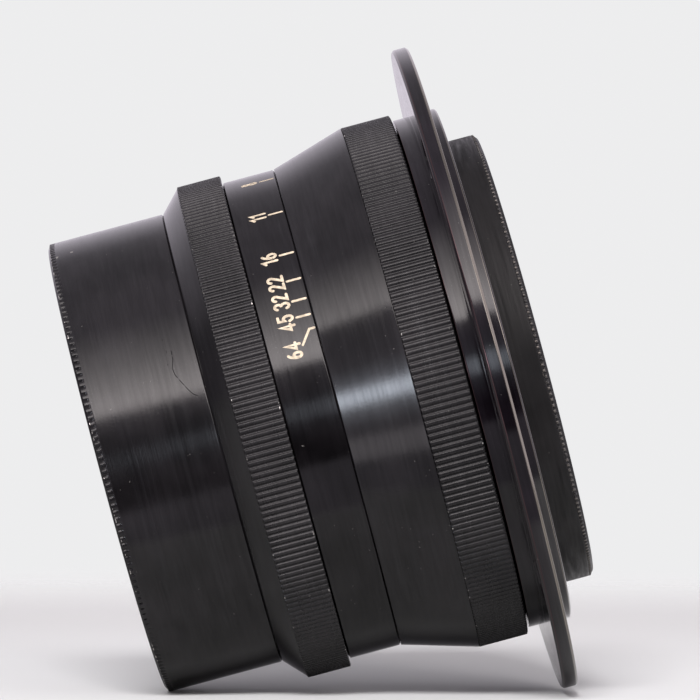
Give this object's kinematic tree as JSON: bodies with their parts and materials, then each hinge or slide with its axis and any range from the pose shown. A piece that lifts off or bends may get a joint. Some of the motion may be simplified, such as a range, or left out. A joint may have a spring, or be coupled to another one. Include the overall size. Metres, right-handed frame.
{
  "type": "enlarger lens",
  "caption": "Photographic enlarging lens: turned barrel with board flange, knurled aperture ring that swings coupled iris blades, and glass cells front and rear.",
  "frame": {"origin": "centre of the mounting flange's rear face, on the optical axis, where the lens rests on its board", "axes": "+Z along the optical axis towards the front glass; +X to the first blade's pivot; the aperture ring turns about +Z"},
  "size_m": [0.103, 0.103, 0.0689],
  "materials": {
    "gloss_black": "gloss black anodised and lacquered, fine turning lines",
    "satin_black": "satin black anodised, straight knurl, cream-filled engraved scale",
    "matte_black": "matte black anodised, worn edges",
    "flange_black": "satin blue-black anodised, chamfered edges worn to copper and bare metal",
    "inner_black": "flat black anodised",
    "blade_steel": "blackened spring steel",
    "screw_steel": "blackened steel with a worn slot",
    "washer_bronze": "bare phosphor bronze, greased",
    "coated_glass": "polished optical glass with a blue-violet anti-reflection coating"
  },
  "bodies": {
    "barrel": {"main_barrel": "gloss_black", "mount_flange": "flange_black", "front_barrel": "gloss_black", "friction_washer": "washer_bronze", "pivot_ring": "inner_black", "iris_cover": "inner_black", "front_cell": "matte_black", "front_bezel": "matte_black", "rear_barrel": "matte_black", "front_retainer": "matte_black", "rear_retainer": "matte_black", "front_inner_retainer": "inner_black", "rear_inner_retainer": "inner_black", "front_crown": "coated_glass", "front_flint": "coated_glass", "front_meniscus": "coated_glass", "rear_crown": "coated_glass", "rear_flint": "coated_glass", "rear_meniscus": "coated_glass"},
    "aperture_ring": {"aperture_ring": "satin_black", "drive_screw": "screw_steel", "cam_ring": "inner_black"},
    "blade_01": {"blade_01": "blade_steel"},
    "blade_02": {"blade_02": "blade_steel"},
    "blade_03": {"blade_03": "blade_steel"},
    "blade_04": {"blade_04": "blade_steel"},
    "blade_05": {"blade_05": "blade_steel"},
    "blade_06": {"blade_06": "blade_steel"},
    "blade_07": {"blade_07": "blade_steel"},
    "blade_08": {"blade_08": "blade_steel"},
    "blade_09": {"blade_09": "blade_steel"},
    "blade_10": {"blade_10": "blade_steel"},
    "blade_11": {"blade_11": "blade_steel"},
    "blade_12": {"blade_12": "blade_steel"}
  },
  "joints": [
    {"name": "aperture_turn", "type": "hinge", "parent": "barrel", "child": "aperture_ring", "pos_m": [0, 0, 0.034], "axis": [0, 0, 1], "range_deg": [0, 78.6]},
    {"name": "blade_01_pivot", "type": "hinge", "parent": "barrel", "child": "blade_01", "pos_m": [0.031, 0, 0.0245], "axis": [0, 0, 1], "range_deg": [0, 35]},
    {"name": "blade_02_pivot", "type": "hinge", "parent": "barrel", "child": "blade_02", "pos_m": [0.02685, 0.0155, 0.0245], "axis": [0, 0, 1], "range_deg": [0, 35]},
    {"name": "blade_03_pivot", "type": "hinge", "parent": "barrel", "child": "blade_03", "pos_m": [0.0155, 0.02685, 0.0245], "axis": [0, 0, 1], "range_deg": [0, 35]},
    {"name": "blade_04_pivot", "type": "hinge", "parent": "barrel", "child": "blade_04", "pos_m": [0, 0.031, 0.0245], "axis": [0, 0, 1], "range_deg": [0, 35]},
    {"name": "blade_05_pivot", "type": "hinge", "parent": "barrel", "child": "blade_05", "pos_m": [-0.0155, 0.02685, 0.0245], "axis": [0, 0, 1], "range_deg": [0, 35]},
    {"name": "blade_06_pivot", "type": "hinge", "parent": "barrel", "child": "blade_06", "pos_m": [-0.02685, 0.0155, 0.0245], "axis": [0, 0, 1], "range_deg": [0, 35]},
    {"name": "blade_07_pivot", "type": "hinge", "parent": "barrel", "child": "blade_07", "pos_m": [-0.031, 0, 0.0245], "axis": [0, 0, 1], "range_deg": [0, 35]},
    {"name": "blade_08_pivot", "type": "hinge", "parent": "barrel", "child": "blade_08", "pos_m": [-0.02685, -0.0155, 0.0245], "axis": [0, 0, 1], "range_deg": [0, 35]},
    {"name": "blade_09_pivot", "type": "hinge", "parent": "barrel", "child": "blade_09", "pos_m": [-0.0155, -0.02685, 0.0245], "axis": [0, 0, 1], "range_deg": [0, 35]},
    {"name": "blade_10_pivot", "type": "hinge", "parent": "barrel", "child": "blade_10", "pos_m": [0, -0.031, 0.0245], "axis": [0, 0, 1], "range_deg": [0, 35]},
    {"name": "blade_11_pivot", "type": "hinge", "parent": "barrel", "child": "blade_11", "pos_m": [0.0155, -0.02685, 0.0245], "axis": [0, 0, 1], "range_deg": [0, 35]},
    {"name": "blade_12_pivot", "type": "hinge", "parent": "barrel", "child": "blade_12", "pos_m": [0.02685, -0.0155, 0.0245], "axis": [0, 0, 1], "range_deg": [0, 35]}
  ],
  "couplings": [
    {"joint": "blade_01_pivot", "follows": "aperture_turn", "ratio": 0.44234},
    {"joint": "blade_02_pivot", "follows": "aperture_turn", "ratio": 0.44234},
    {"joint": "blade_03_pivot", "follows": "aperture_turn", "ratio": 0.44234},
    {"joint": "blade_04_pivot", "follows": "aperture_turn", "ratio": 0.44234},
    {"joint": "blade_05_pivot", "follows": "aperture_turn", "ratio": 0.44234},
    {"joint": "blade_06_pivot", "follows": "aperture_turn", "ratio": 0.44234},
    {"joint": "blade_07_pivot", "follows": "aperture_turn", "ratio": 0.44234},
    {"joint": "blade_08_pivot", "follows": "aperture_turn", "ratio": 0.44234},
    {"joint": "blade_09_pivot", "follows": "aperture_turn", "ratio": 0.44234},
    {"joint": "blade_10_pivot", "follows": "aperture_turn", "ratio": 0.44234},
    {"joint": "blade_11_pivot", "follows": "aperture_turn", "ratio": 0.44234},
    {"joint": "blade_12_pivot", "follows": "aperture_turn", "ratio": 0.44234}
  ]
}
